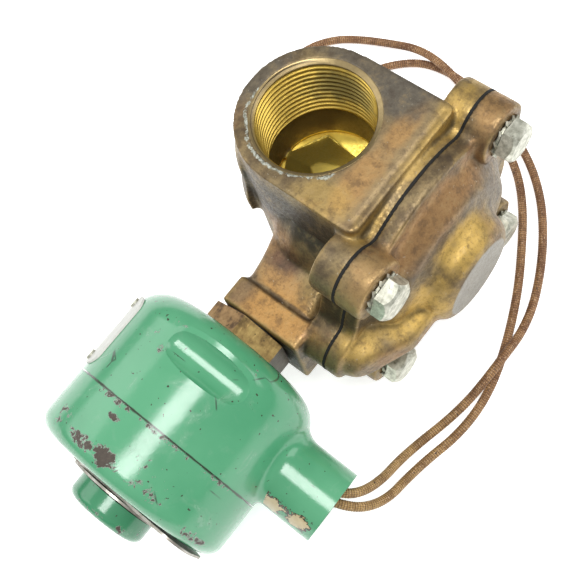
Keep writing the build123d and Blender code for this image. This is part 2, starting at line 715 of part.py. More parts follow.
def lead_wire(points):
    """One braided lead as a plain tube."""
    path = lead_path(points)
    section = Plane(origin=path @ 0, z_dir=path % 0) * Circle(LEAD_R)
    tube = sweep(section, path=path)
    area = Circle(LEAD_R).area
    print("lead", round(path.length, 1), "mm, smallest radius", round(min(corner_radii(points)), 1))
    print("radii", [round(radius) for radius in corner_radii(points)])
    print("volume over section times length", round(tube.volume / (area * path.length), 4))
    return tube


def lead_tip(points):
    """Bare stranded copper at the lead's end."""
    end, before = Vector(*points[-1]), Vector(*points[-2])
    return rod(end, end + (end - before).normalized() * 9.0, 0.9)


NODES = {
    "valve_body": valve_body,
    "bonnet": bonnet,
    "diaphragm": diaphragm,
    "bleed_eyelet": bleed_eyelet,
    "seat_disc": seat_disc,
    "disc_washer": disc_washer,
    "diaphragm_plate": diaphragm_plate,
    "disc_stud": disc_stud,
    "stud_nut": stud_nut,
    "main_spring": main_spring,
    "bonnet_screws": bonnet_screws,
    "lock_washers": lock_washers,
    "pilot_seat": pilot_seat,
    "base_gasket": base_gasket,
    "solenoid_base": solenoid_base,
    "core_tube": core_tube,
    "fixed_core": fixed_core,
    "moving_core": moving_core,
    "core_disc": core_disc,
    "core_spring": core_spring,
    "coil_bobbin": coil_bobbin,
    "coil_winding": coil_winding,
    "insulating_washers": insulating_washers,
    "yoke": yoke,
    "housing": housing,
    "conduit_hub": conduit_hub,
    "housing_cover": housing_cover,
    "side_plate": side_plate,
    "plate_pins": plate_pins,
    "end_plate": end_plate,
    "dished_washer": dished_washer,
    "retaining_cap": retaining_cap,
    "lead_wire_a": lambda: lead_wire(LEAD_A),
    "lead_wire_b": lambda: lead_wire(LEAD_B),
    "lead_tip_a": lambda: lead_tip(LEAD_A),
    "lead_tip_b": lambda: lead_tip(LEAD_B),
}

for name, make in NODES.items():
    export_step(make(), f"parts/{name}.step")
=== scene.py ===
"""Looks of the solenoid valve: camera, lead wires, cast skins, threads, enamel, floor and light.

All lengths are in metres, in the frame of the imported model.
"""
from math import cos, pi, radians, sin

import bpy
import numpy as np
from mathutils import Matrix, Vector


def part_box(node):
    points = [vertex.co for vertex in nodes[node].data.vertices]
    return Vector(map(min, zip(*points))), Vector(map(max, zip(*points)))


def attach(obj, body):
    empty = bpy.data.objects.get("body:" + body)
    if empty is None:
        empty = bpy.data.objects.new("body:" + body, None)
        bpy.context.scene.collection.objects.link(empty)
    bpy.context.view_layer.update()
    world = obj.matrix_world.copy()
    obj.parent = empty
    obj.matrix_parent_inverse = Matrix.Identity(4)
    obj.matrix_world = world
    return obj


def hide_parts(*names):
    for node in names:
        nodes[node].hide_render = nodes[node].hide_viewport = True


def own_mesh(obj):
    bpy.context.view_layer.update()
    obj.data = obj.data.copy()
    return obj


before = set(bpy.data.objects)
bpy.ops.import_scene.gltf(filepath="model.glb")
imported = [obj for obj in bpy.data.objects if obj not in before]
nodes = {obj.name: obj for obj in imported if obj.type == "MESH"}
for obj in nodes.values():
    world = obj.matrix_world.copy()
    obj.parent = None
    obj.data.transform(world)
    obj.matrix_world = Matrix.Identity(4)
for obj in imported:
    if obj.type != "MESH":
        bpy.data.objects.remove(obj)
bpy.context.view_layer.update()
ROOT = "valve"
MM = 0.001
SOLENOID_Y = -9.5 * MM
SOLENOID_Z = 37 * MM

# ---------------------------------------------------------------- camera

CAMERA_AT = (-0.1027, -0.1222, 0.3333)
CAMERA_TURN = (21.856, 9.042, -51.226)
LENS = 57.31


def add_camera():
    """A camera at the viewing angle of the finished picture."""
    data = bpy.data.cameras.new("camera")
    data.lens = LENS
    data.sensor_width = 36.0
    data.clip_start = 0.02
    data.clip_end = 10.0
    camera = bpy.data.objects.new("camera", data)
    camera.location = CAMERA_AT
    camera.rotation_euler = [radians(turn) for turn in CAMERA_TURN]
    bpy.context.scene.collection.objects.link(camera)
    bpy.context.scene.camera = camera


# ---------------------------------------------------------------- lead wires

LEAD_R = 1.7 * MM
FLOOR_LEAD_Z = 1.8

LEAD_A = [
    (-85.2, -34.4, 34.0), (-84.8, -42.5, 32.6), (-84.6, -50.5, 31.0), (-84.4, -58.5, 29.2),
    (-83.0, -65.5, 27.0), (-78.0, -70.0, 22.5), (-69.5, -71.6, 15.0), (-60.0, -71.2, 7.4),
    (-49.5, -72.6, 2.9), (-37.5, -75.6, 2.0), (-26.5, -77.8, 4.0), (-16.5, -78.8, 7.6),
    (-6.0, -78.9, 7.6), (4.5, -78.6, 4.0), (17.0, -76.0, FLOOR_LEAD_Z), (31.0, -70.2, FLOOR_LEAD_Z),
    (45.0, -62.2, FLOOR_LEAD_Z), (57.5, -52.6, FLOOR_LEAD_Z), (68.0, -40.5, FLOOR_LEAD_Z),
    (76.5, -25.0, FLOOR_LEAD_Z), (82.0, -8.5, FLOOR_LEAD_Z), (85.0, 8.0, FLOOR_LEAD_Z),
    (83.0, 21.5, FLOOR_LEAD_Z), (76.0, 31.0, FLOOR_LEAD_Z), (66.0, 38.5, FLOOR_LEAD_Z),
    (55.0, 46.0, FLOOR_LEAD_Z), (43.0, 49.5, FLOOR_LEAD_Z), (31.5, 48.0, FLOOR_LEAD_Z),
    (21.0, 47.0, FLOOR_LEAD_Z), (11.5, 51.0, FLOOR_LEAD_Z),
]

LEAD_B = [
    (-89.6, -34.8, 30.6), (-89.2, -43.0, 29.4), (-88.6, -51.0, 27.8), (-87.6, -59.0, 26.2),
    (-85.8, -67.0, 24.0), (-81.0, -73.5, 18.6), (-73.0, -76.6, 11.4), (-63.0, -76.8, 5.2),
    (-52.0, -78.4, 2.2), (-41.0, -81.2, FLOOR_LEAD_Z), (-29.0, -82.2, FLOOR_LEAD_Z),
    (-17.0, -80.9, FLOOR_LEAD_Z), (-5.0, -77.6, FLOOR_LEAD_Z), (7.5, -73.0, FLOOR_LEAD_Z),
    (21.0, -67.0, FLOOR_LEAD_Z), (34.5, -59.4, FLOOR_LEAD_Z), (47.5, -51.4, FLOOR_LEAD_Z),
    (59.0, -42.0, FLOOR_LEAD_Z), (68.0, -30.0, FLOOR_LEAD_Z), (74.6, -15.5, 2.6),
    (79.8, -1.0, 6.0), (83.6, 13.0, 7.6), (84.8, 25.5, 6.4), (83.2, 37.5, 2.8),
    (79.0, 49.5, FLOOR_LEAD_Z), (73.0, 60.0, FLOOR_LEAD_Z), (63.5, 67.5, FLOOR_LEAD_Z),
    (52.0, 70.0, FLOOR_LEAD_Z), (41.0, 68.5, FLOOR_LEAD_Z), (31.5, 62.5, FLOOR_LEAD_Z),
]


def spline_points(route, name):
    """Points along the smooth line that a route's points control."""
    data = bpy.data.curves.new(name, "CURVE")
    data.dimensions = "3D"
    spline = data.splines.new("NURBS")
    spline.points.add(len(route) - 1)
    for point, place in zip(spline.points, route):
        point.co = (*[length * MM for length in place], 1.0)
    spline.order_u = 3
    spline.use_endpoint_u = True
    data.resolution_u = 24
    guide = bpy.data.objects.new(name, data)
    bpy.context.scene.collection.objects.link(guide)
    mesh = bpy.data.meshes.new_from_object(guide)
    places = np.array([vertex.co for vertex in mesh.vertices])
    bpy.data.objects.remove(guide)
    return places


def evenly(places, step):
    """The same line with points a step apart."""
    along = np.concatenate([[0], np.cumsum(np.linalg.norm(np.diff(places, axis=0), axis=1))])
    count = max(2, int(along[-1] / step))
    wanted = np.linspace(0, along[-1], count)
    return np.stack([np.interp(wanted, along, places[:, axis]) for axis in range(3)], axis=1), wanted


def line_frames(places):
    """Unit directions along a line and two directions across it, which turn as little as they can."""
    along = np.gradient(places, axis=0)
    along /= np.linalg.norm(along, axis=1)[:, None]
    across = np.zeros_like(places)
    start = np.cross(along[0], (0, 0, 1))
    across[0] = start / np.linalg.norm(start)
    for i in range(1, len(places)):
        kept = across[i - 1] - along[i] * np.dot(across[i - 1], along[i])
        across[i] = kept / np.linalg.norm(kept)
    return along, across, np.cross(along, across)


def link_mesh(name, vertices, faces, smooth=True):
    """A new mesh object in the scene."""
    mesh = bpy.data.meshes.new(name)
    mesh.from_pydata([tuple(vertex) for vertex in vertices], [], faces)
    mesh.update()
    piece = bpy.data.objects.new(name, mesh)
    bpy.context.scene.collection.objects.link(piece)
    if smooth:
        mesh.polygons.foreach_set("use_smooth", [True] * len(mesh.polygons))
    return piece


def grid_faces(rows, columns, wrap=True):
    """Quads between the rows of a grid whose columns close on themselves."""
    faces = []
    last = columns if wrap else columns - 1
    for row in range(rows - 1):
        for column in range(last):
            beside = (column + 1) % columns
            faces.append((
                row * columns + column,
                row * columns + beside,
                (row + 1) * columns + beside,
                (row + 1) * columns + column,
            ))
    return faces


def braided_tube(name, places, radius):
    """A sleeve of crossing strands round a line, with its braid raised from the surface."""
    columns, strands, pitch, relief = 32, 8, 15 * MM, 0.12 * MM
    places, along = evenly(places, 0.22 * MM)
    _, across, up = line_frames(places)
    angle = np.linspace(0, 2 * pi, columns, endpoint=False)
    turn = 2 * pi * along[:, None] / pitch
    weave = np.cos(strands * (angle[None] + turn)) * np.cos(strands * (angle[None] - turn))
    size = radius - relief + relief * weave
    ring = across[:, None] * np.cos(angle)[None, :, None] + up[:, None] * np.sin(angle)[None, :, None]
    vertices = places[:, None] + ring * size[:, :, None]
    count = len(places)
    vertices = vertices.reshape(-1, 3)
    faces = grid_faces(count, columns)
    faces.append(tuple(reversed(range(columns))))
    faces.append(tuple(range((count - 1) * columns, count * columns)))
    tube = link_mesh(name, vertices, faces)
    height = tube.data.attributes.new("weave", "FLOAT", "POINT")
    height.data.foreach_set("value", weave.ravel())
    length = tube.data.attributes.new("along", "FLOAT", "POINT")
    length.data.foreach_set("value", np.repeat(along, columns))
    return tube, along[-1]


def add_leads():
    """Both braided leads, in place of the plain lead nodes."""
    for letter, route in (("a", LEAD_A), ("b", LEAD_B)):
        places = spline_points(route, f"route_{letter}")
        lead, length = braided_tube(f"braided_lead_{letter}", places, LEAD_R)
        lead.data.materials.append(braid_material())
        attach(lead, ROOT)
        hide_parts(f"lead_wire_{letter}")


# ---------------------------------------------------------------- materials


class Paint:
    """A procedural material under construction. Sizes are in metres, in the frame of the model."""

    def __init__(self, name, material=None):
        self.material = material or bpy.data.materials.new(name)
        self.material.use_nodes = True
        self.tree = self.material.node_tree
        self.shader = self.tree.nodes["Principled BSDF"]
        self.place = self.add("ShaderNodeTexCoord").outputs["Object"]

    @classmethod
    def over(cls, material):
        """More layers on a material that is already made."""
        return cls(material.name, material)

    def add(self, kind, **settings):
        node = self.tree.nodes.new(kind)
        for key, value in settings.items():
            setattr(node, key, value)
        return node

    def feed(self, socket, value):
        if isinstance(value, bpy.types.NodeSocket):
            self.tree.links.new(value, socket)
        elif isinstance(value, tuple) and len(value) == 3 and socket.type == "RGBA":
            socket.default_value = (*value, 1.0)
        else:
            socket.default_value = value

    def stored(self, name):
        """A number that the mesh carries on its vertices."""
        return self.add("ShaderNodeAttribute", attribute_name=name).outputs["Fac"]

    def calc(self, operation, first, second=0.0, clamp=False):
        node = self.add("ShaderNodeMath", operation=operation, use_clamp=clamp)
        self.feed(node.inputs[0], first)
        self.feed(node.inputs[1], second)
        return node.outputs[0]

    def noise(self, size, detail=4.0, rough=0.55, warp=0.0, where=None):
        node = self.add("ShaderNodeTexNoise")
        self.feed(node.inputs["Vector"], where or self.place)
        node.inputs["Scale"].default_value = 1 / size
        node.inputs["Detail"].default_value = detail
        node.inputs["Roughness"].default_value = rough
        node.inputs["Distortion"].default_value = warp
        return node.outputs["Fac"]

    def cells(self, size, feature="F1", where=None):
        node = self.add("ShaderNodeTexVoronoi", feature=feature)
        self.feed(node.inputs["Vector"], where or self.place)
        node.inputs["Scale"].default_value = 1 / size
        return node.outputs["Distance"]

    def stretched(self, *factors):
        node = self.add("ShaderNodeVectorMath", operation="MULTIPLY")
        self.feed(node.inputs[0], self.place)
        node.inputs[1].default_value = factors
        return node.outputs[0]

    def step(self, value, shade_below, high):
        node = self.add("ShaderNodeMapRange", interpolation_type="SMOOTHSTEP")
        self.feed(node.inputs["Value"], value)
        node.inputs["From Min"].default_value = shade_below
        node.inputs["From Max"].default_value = high
        return node.outputs["Result"]

    def mix(self, factor, first, second):
        node = self.add("ShaderNodeMix", data_type="RGBA")
        self.feed(node.inputs[0], factor)
        self.feed(node.inputs[6], first)
        self.feed(node.inputs[7], second)
        return node.outputs[2]

    def blend(self, factor, first, second):
        node = self.add("ShaderNodeMix", data_type="FLOAT")
        self.feed(node.inputs[0], factor)
        self.feed(node.inputs[2], first)
        self.feed(node.inputs[3], second)
        return node.outputs[0]

    def ramp(self, factor, *stops):
        node = self.add("ShaderNodeValToRGB")
        self.feed(node.inputs[0], factor)
        ramp = node.color_ramp
        while len(ramp.elements) < len(stops):
            ramp.elements.new(0.5)
        for element, (position, colour) in zip(ramp.elements, stops):
            element.position = position
            element.color = (*colour, 1.0)
        return node.outputs["Color"]

    def axis(self, letter):
        node = self.add("ShaderNodeSeparateXYZ")
        self.feed(node.inputs[0], self.place)
        return node.outputs[letter]

    def away(self, centre, shape):
        """Distance from a point, measured in the radii of an ellipsoid round it."""
        offset = self.add("ShaderNodeVectorMath", operation="SUBTRACT")
        self.feed(offset.inputs[0], self.place)
        offset.inputs[1].default_value = centre
        scaled = self.add("ShaderNodeVectorMath", operation="DIVIDE")
        self.feed(scaled.inputs[0], offset.outputs[0])
        scaled.inputs[1].default_value = shape
        length = self.add("ShaderNodeVectorMath", operation="LENGTH")
        self.feed(length.inputs[0], scaled.outputs[0])
        return length.outputs["Value"]

    def near(self, centre, radius, soft, ragged=0.0, grain=3 * MM, shape=(1, 1, 1)):
        """1 within a radius of a point, fading over a soft edge that noise makes ragged."""
        distance = self.away(centre, shape)
        if ragged:
            wander = self.calc("SUBTRACT", self.noise(grain, 4.0, 0.6), 0.5)
            distance = self.calc("ADD", distance, self.calc("MULTIPLY", wander, ragged))
        return self.calc("SUBTRACT", 1.0, self.step(distance, radius - soft, radius + soft))

    def bump(self, height, strength, depth):
        node = self.add("ShaderNodeBump")
        self.feed(node.inputs["Height"], height)
        node.inputs["Strength"].default_value = strength
        node.inputs["Distance"].default_value = depth
        previous = self.shader.inputs["Normal"]
        if previous.is_linked:
            self.feed(node.inputs["Normal"], previous.links[0].from_socket)
        self.feed(previous, node.outputs["Normal"])

    def finish(self, colour, rough, metal=0.0, **constants):
        self.feed(self.shader.inputs["Base Color"], colour)
        self.feed(self.shader.inputs["Roughness"], rough)
        self.feed(self.shader.inputs["Metallic"], metal)
        for key, value in constants.items():
            self.shader.inputs[key.replace("_", " ")].default_value = value
        return self.material


def braid_material():
    """Glazed fabric sleeve, golden tan near the hub and copper brown further on."""
    paint = Paint("braid")
    weave = paint.stored("weave")
    along = paint.stored("along")
    far = paint.step(along, 40 * MM, 130 * MM)
    blotch = paint.step(paint.noise(5 * MM, 5.0, 0.65), 0.32, 0.68)
    light = paint.mix(far, (0.56, 0.36, 0.130), (0.46, 0.250, 0.105))
    dark = paint.mix(far, (0.27, 0.155, 0.055), (0.20, 0.090, 0.040))
    colour = paint.mix(blotch, dark, light)
    # painted shade: the low places between the braid's strands are darkened
    raised = paint.step(weave, -0.6, 0.7)
    colour = paint.mix(raised, paint.mix(0.75, colour, (0.045, 0.020, 0.012)), colour)
    stain = paint.step(paint.noise(1.6 * MM, 3.0, 0.6), 0.63, 0.70)
    colour = paint.mix(stain, colour, (0.07, 0.04, 0.025))
    fray = paint.step(paint.noise(0.6 * MM, 2.0, 0.6), 0.58, 0.70)
    colour = paint.mix(paint.calc("MULTIPLY", fray, 0.7), colour, (0.74, 0.52, 0.32))
    paint.bump(paint.noise(0.35 * MM, 2.0), 0.35, 0.1 * MM)
    return paint.finish(colour, paint.blend(blotch, 0.65, 0.5), Specular_IOR_Level=0.35)


def patina(paint):
    """Layers of tarnish over bronze: brown and olive fields, copper and golden patches, grey film."""
    broad = paint.noise(24 * MM, 3.0, 0.5, 0.5)
    middle = paint.noise(6 * MM, 5.0, 0.62, 0.3)
    tone = paint.calc("ADD", paint.calc("MULTIPLY", broad, 0.5), paint.calc("MULTIPLY", middle, 0.5))
    colour = paint.ramp(
        tone,
        (0.34, (0.080, 0.058, 0.036)),
        (0.44, (0.165, 0.118, 0.062)),
        (0.53, (0.255, 0.190, 0.095)),
        (0.62, (0.320, 0.235, 0.108)),
        (0.72, (0.240, 0.200, 0.122)),
    )
    copper = paint.step(paint.noise(17 * MM, 4.0, 0.6, 0.8), 0.54, 0.68)
    return paint.mix(paint.calc("MULTIPLY", copper, 0.45), colour, (0.32, 0.175, 0.075))


def in_metres(lengths):
    return tuple(length * MM for length in lengths)


def patches(paint, colour, places):
    """Soft ragged patches: each is a centre in mm, radii in mm, colour and strength; some are painted
    highlights and some painted shade.
    """
    for centre, radii, tint, strength in places:
        mask = paint.near(in_metres(centre), 1.0, 0.45, ragged=1.3, grain=7 * MM, shape=in_metres(radii))
        colour = paint.mix(paint.calc("MULTIPLY", mask, strength), colour, tint)
    mottle = paint.noise(4.5 * MM, 7.0, 0.72)
    dark = paint.calc("MULTIPLY", paint.step(mottle, 0.54, 0.34), 0.50)
    light = paint.calc("MULTIPLY", paint.step(mottle, 0.50, 0.68), 0.40)
    colour = paint.mix(dark, colour, (0.062, 0.043, 0.032))
    return paint.mix(light, colour, (0.40, 0.285, 0.135))


COPPER = (0.45, 0.262, 0.098)
RED_BROWN = (0.34, 0.190, 0.076)
# painted highlight: golden sheen laid on the flange band, the port face's edge, the bonnet's dome and the top
# of its arm
GOLD_HIGHLIGHT = (0.58, 0.385, 0.100)
GREY = (0.150, 0.132, 0.102)
# dark grey-brown, laid on the port boss's sides toward the solenoid and the bonnet
DARK_GREY_BROWN = (0.072, 0.062, 0.048)
PLUM = (0.115, 0.062, 0.046)
# painted shade: dark brown laid in shadowed valleys, steps and undersides
PAINTED_SHADE = (0.050, 0.040, 0.026)

BODY_PATCHES = [
    ((-4, -28, 90), (26, 8, 6), (0.36, 0.26, 0.135), 0.8),
    ((-11, -25, 90), (12, 4.5, 6), COPPER, 0.85),
    ((11, -25.5, 90), (11, 3.5, 6), COPPER, 0.85),
    ((21, -19, 90), (9, 9, 8), GREY, 0.95),
    ((24, -2, 90), (6, 20, 8), GREY, 0.8),
    ((4, 25, 88), (22, 6, 9), GREY, 0.8),
    ((-26, 2, 72), (6, 26, 14), DARK_GREY_BROWN, 0.9),
    ((-27, -22, 74), (5, 18, 12), DARK_GREY_BROWN, 0.95),
    ((-22, -20, 90), (7, 9, 2.5), GOLD_HIGHLIGHT, 0.4),
    ((-31, 0, 54), (7, 10, 9), RED_BROWN, 0.7),
    ((-36, -8, 51), (7, 7, 6), PLUM, 0.75),
    ((-42, -12, 50), (5, 12, 5), COPPER, 0.85),
    ((-38, -24, 51), (8, 6, 6), (0.26, 0.180, 0.068), 0.8),
    ((-34, -33, 76), (10, 6, 11), DARK_GREY_BROWN, 0.6),
    ((-52, -16, 51), (9, 18, 4), (0.55, 0.300, 0.095), 0.85),
    ((-50, 0, 50), (7, 6, 5), (0.180, 0.128, 0.080), 0.75),
    # painted shadow along the step where the neck meets the pilot block
    ((-46, -14, 51), (1.2, 18, 4), PAINTED_SHADE, 0.8),
    # painted shade: the pilot block's end face toward the housing and its front face are darkened
    ((-57.5, -14, 35), (1.8, 22, 19), (0.022, 0.019, 0.012), 1.0),
    ((-51, -30, 36), (9, 2, 14), (0.105, 0.082, 0.048), 0.85),
    # the worn copper edge of the block's top, brightened further as a painted highlight
    ((-52, -29.6, 50.4), (7, 1.4, 1.4), (0.60, 0.36, 0.16), 0.8),
    ((28, -34, 82), (14, 5, 10), GOLD_HIGHLIGHT, 0.75),
    ((8, -35, 88), (12, 3, 5), GOLD_HIGHLIGHT, 0.6),
    ((-20, -34, 84), (10, 4, 6), GOLD_HIGHLIGHT, 0.6),
    # painted shade above the neck, next to the bonnet
    ((-40, -33, 62), (10, 8, 14), PAINTED_SHADE, 0.8),
]

BONNET_PATCHES = [
    ((-6, -47, 77), (26, 6, 9), RED_BROWN, 0.85),
    ((22, -46, 70), (12, 6, 12), RED_BROWN, 0.6),
    ((0, -53, 68), (28, 5, 7), GREY, 0.55),
    ((26, -50, 60), (10, 8, 14), GREY, 0.75),
    ((0, -56, 64), (13, 7, 6), GOLD_HIGHLIGHT, 0.9),
    ((-17, -55, 50), (9, 7, 10), GOLD_HIGHLIGHT, 0.75),
    ((-28, -52, 50), (8, 7, 6), GOLD_HIGHLIGHT, 0.85),
    ((-44, -46, 50), (7, 7, 6), GOLD_HIGHLIGHT, 0.7),
    ((-32, -45, 84), (11, 6, 7), COPPER, 0.5),
    # painted shadow in the valley between the arm and the lug's boss
    ((-38, -45, 64), (10, 7, 9), PAINTED_SHADE, 0.8),
    ((-30, -47, 57), (9, 5, 6), PAINTED_SHADE, 0.6),
    ((-45, -56, 40), (12, 5, 9), RED_BROWN, 0.6),
    ((-20, -57, 34), (12, 5, 8), RED_BROWN, 0.6),
    ((33, -43, 84), (9, 5, 7), COPPER, 0.65),
    # painted shade under the ear
    ((-46, -46, 32), (14, 9, 8), PAINTED_SHADE, 0.6),
]


def cast_material(name, places):
    """Patina of a casting, with painted highlights and shade among its patches: rubbed golden on its ridges,
    grimy in its hollows, dull brass inside.
    """
    paint = Paint(name)
    ridge = paint.stored("ridge")
    inside = paint.stored("inside")
    rim = paint.stored("rim")
    faced = paint.stored("faced")
    fine = paint.noise(0.9 * MM, 4.0, 0.65)
    colour = patches(paint, patina(paint), places)
    wander = paint.calc("MULTIPLY", paint.calc("SUBTRACT", paint.noise(5 * MM, 4.0, 0.6), 0.5), 1.5)
    worn = paint.calc("ADD", ridge, wander)
    rubbed = paint.calc("MULTIPLY", paint.step(worn, 0.3, 1.2), 0.5)
    colour = paint.mix(rubbed, colour, (0.37, 0.255, 0.095))
    hollow = paint.calc("MULTIPLY", paint.step(worn, -0.1, -1.3), 0.8)
    colour = paint.mix(hollow, colour, (0.045, 0.036, 0.022))
    pore = paint.calc("MULTIPLY", paint.step(fine, 0.54, 0.72), 0.4)
    colour = paint.mix(pore, colour, (0.070, 0.050, 0.030))
    speck = paint.step(paint.noise(1.3 * MM, 2.0, 0.5), 0.71, 0.75)
    colour = paint.mix(paint.calc("MULTIPLY", speck, 0.5), colour, (0.45, 0.40, 0.30))
    turned = paint.mix(paint.noise(3 * MM, 4.0, 0.6), (0.20, 0.19, 0.16), (0.38, 0.36, 0.31))
    colour = paint.mix(faced, colour, turned)
    crust = paint.calc("ADD", paint.noise(1.6 * MM, 5.0, 0.72), paint.calc("MULTIPLY", rim, 0.34))
    lime = paint.calc("MULTIPLY", paint.step(crust, 0.73, 0.80), paint.step(rim, 0.25, 0.6))
    chalk = paint.mix(paint.step(fine, 0.4, 0.6), (0.24, 0.25, 0.20), (0.60, 0.63, 0.55))
    colour = paint.mix(paint.calc("MULTIPLY", lime, 0.85), colour, chalk)
    colour = paint.mix(inside, colour, brass_inside(paint))
    grain = paint.blend(inside, 0.5, 0.1)
    coarse = paint.calc("MULTIPLY", paint.noise(3.2 * MM, 4.0, 0.5), paint.blend(inside, 1.0, 0.3))
    paint.bump(paint.calc("MULTIPLY", fine, grain), 0.55, 0.22 * MM)
    paint.bump(coarse, 0.4, 0.45 * MM)
    rough = paint.blend(paint.step(fine, 0.35, 0.65), 0.38, 0.60)
    return paint.finish(colour, rough, 0.68)


BAND_FROM_R = 18.2 * MM
BAND_FULL_R = 18.8 * MM
BODY_MIDDLE_Z = 45 * MM


def brass_inside(paint):
    """Bright stained brass deep in the port, below a smooth band of wall painted dark as shade; the roof's
    facets carry painted light and shade.
    """
    stain = paint.noise(9 * MM, 4.0, 0.6, 0.5)
    bright = paint.mix(paint.step(stain, 0.38, 0.62), (0.74, 0.54, 0.085), (0.92, 0.72, 0.140))
    # painted shade: the smooth band of wall is dark as if in shadow under the step
    shaded_band = paint.mix(stain, (0.13, 0.088, 0.032), (0.23, 0.165, 0.062))
    flat = paint.add("ShaderNodeVectorMath", operation="LENGTH")
    paint.feed(flat.inputs[0], paint.stretched(1, 1, 0))
    wall = paint.step(flat.outputs["Value"], BAND_FROM_R, BAND_FULL_R)
    height = paint.calc("ABSOLUTE", paint.calc("SUBTRACT", paint.axis("Z"), BODY_MIDDLE_Z))
    # painted light and shade on the roof's facets: bright yellow toward -y, darker olive toward +y
    lit_facet = paint.step(paint.axis("Y"), 2 * MM, -6 * MM)
    roof = paint.mix(lit_facet, (0.42, 0.32, 0.060), (0.78, 0.60, 0.115))
    roof = paint.mix(paint.calc("MULTIPLY", stain, 0.5), roof, (0.20, 0.14, 0.03))
    upper = paint.step(height, 4 * MM, 5 * MM)
    return paint.mix(upper, bright, paint.mix(wall, roof, shaded_band))


def thread_material():
    """Yellow machined bronze of the threads with painted shade in the grooves, and greenish dirt on one side.
    """
    paint = Paint("thread_bronze")
    groove = paint.stored("depth")
    streak = paint.noise(4 * MM, 4.0, 0.6, where=paint.stretched(1, 1, 0.3))
    bright = paint.mix(streak, (0.46, 0.31, 0.060), (0.80, 0.57, 0.115))
    # painted shade: the thread's grooves are darkened
    colour = paint.mix(paint.step(groove, 0.50, 0.90), bright, (0.075, 0.048, 0.016))
    dirty, reach = in_metres((18, 4, 78)), in_metres((10, 13, 8))
    dirt = paint.near(dirty, 1.0, 0.5, ragged=1.6, grain=4 * MM, shape=reach)
    colour = paint.mix(paint.calc("MULTIPLY", dirt, 0.7), colour, (0.10, 0.095, 0.045))
    crumb = paint.calc("MULTIPLY", dirt, paint.step(paint.noise(1.0 * MM, 4.0, 0.65), 0.58, 0.64))
    caught = paint.calc("MULTIPLY", crumb, paint.step(groove, 0.3, 0.9))
    colour = paint.mix(caught, colour, (0.38, 0.42, 0.30))
    lip = paint.stored("lip")
    dull = paint.mix(paint.noise(2 * MM, 5.0, 0.65), (0.12, 0.095, 0.065), (0.36, 0.28, 0.16))
    colour = paint.mix(paint.calc("MULTIPLY", lip, 0.85), colour, dull)
    speck = paint.step(paint.noise(0.8 * MM, 3.0, 0.6), 0.66, 0.74)
    colour = paint.mix(speck, colour, (0.16, 0.11, 0.05))
    paint.bump(paint.noise(0.5 * MM, 3.0), 0.25, 0.1 * MM)
    return paint.finish(colour, paint.blend(streak, 0.26, 0.42), 0.85)


def chipped(paint, colour, places):
    """Ragged chips down to rusty steel with a pale broken edge, more of them at given places."""
    grain = paint.noise(2.4 * MM, 6.0, 0.68, 0.6)
    density = 0.0
    for centre, radii, strength in places:
        spot = paint.near(in_metres(centre), 0.9, 0.6, shape=in_metres(radii))
        density = paint.calc("MAXIMUM", density, paint.calc("MULTIPLY", spot, strength))
    level = paint.calc("ADD", grain, density)
    broken = paint.step(level, 0.755, 0.765)
    bare = paint.step(level, 0.785, 0.795)
    rust = paint.mix(paint.noise(0.9 * MM, 4.0, 0.6), (0.030, 0.023, 0.017), (0.100, 0.078, 0.058))
    colour = paint.mix(broken, colour, (0.30, 0.34, 0.29))
    return paint.mix(bare, colour, rust), broken, bare


SEAM_X = -104.1 * MM


def enamel_material(name, light, deep, places):
    """Glossy enamel, lumpy, scratched, specked and chipped."""
    paint = Paint(name)
    broad = paint.noise(30 * MM, 3.0, 0.5)
    colour = paint.mix(paint.step(broad, 0.35, 0.65), deep, light)
    film = paint.step(paint.noise(11 * MM, 5.0, 0.65, 0.6), 0.54, 0.74)
    colour = paint.mix(paint.calc("MULTIPLY", film, 0.30), colour, (0.30, 0.42, 0.33))
    wander = paint.calc("MULTIPLY", paint.noise(4 * MM, 4.0, 0.6), 0.8 * MM)
    seam = paint.calc("ABSOLUTE", paint.calc("SUBTRACT", paint.axis("X"), SEAM_X))
    seam = paint.step(paint.calc("ADD", seam, wander), 0.95 * MM, 0.55 * MM)
    colour = paint.mix(paint.calc("MULTIPLY", seam, 0.85), colour, (0.05, 0.05, 0.036))
    cracks = paint.cells(19 * MM, "DISTANCE_TO_EDGE", where=paint.stretched(1, 0.35, 0.6))
    line = paint.step(cracks, 0.010, 0.004)
    kept = paint.step(paint.noise(13 * MM, 2.0, 0.5), 0.60, 0.66)
    scratch = paint.calc("MULTIPLY", line, kept)
    colour = paint.mix(paint.calc("MULTIPLY", scratch, 0.8), colour, (0.035, 0.06, 0.04))
    speck = paint.step(paint.noise(1.5 * MM, 2.0, 0.4), 0.715, 0.74)
    colour = paint.mix(speck, colour, (0.04, 0.05, 0.03))
    colour, broken, bare = chipped(paint, colour, places)
    worn = paint.step(paint.noise(1.2 * MM, 5.0, 0.7), 0.42, 0.62)
    paint.bump(paint.calc("SUBTRACT", 1.0, broken), 0.6, 0.12 * MM)
    paint.bump(paint.noise(6 * MM, 3.0, 0.45), 0.22, 0.5 * MM)
    gloss = paint.blend(film, 0.17, 0.32)
    gloss = paint.blend(paint.calc("MULTIPLY", worn, 0.25), gloss, 0.38)
    return paint.finish(colour, paint.blend(bare, gloss, 0.75), 0.0, Coat_Weight=0.25, Coat_Roughness=0.12)


HOUSING_CHIPS = [
    ((-84.5, -2.5, 73.4), (2.2, 3.0, 3), 0.22),
    ((-80.5, 2.0, 72.4), (2.2, 2.5, 3), 0.20),
    ((-74.8, -4.5, 73.0), (1.5, 3.5, 3), 0.20),
    ((-72.0, -30, 66), (2.0, 3.5, 4), 0.24),
    ((-103.4, -30, 66), (0.9, 18, 10), 0.13),
    ((-83, -20, 73), (3, 10, 4), 0.06),
    ((-92, 6, 72), (7, 9, 4), 0.06),
]

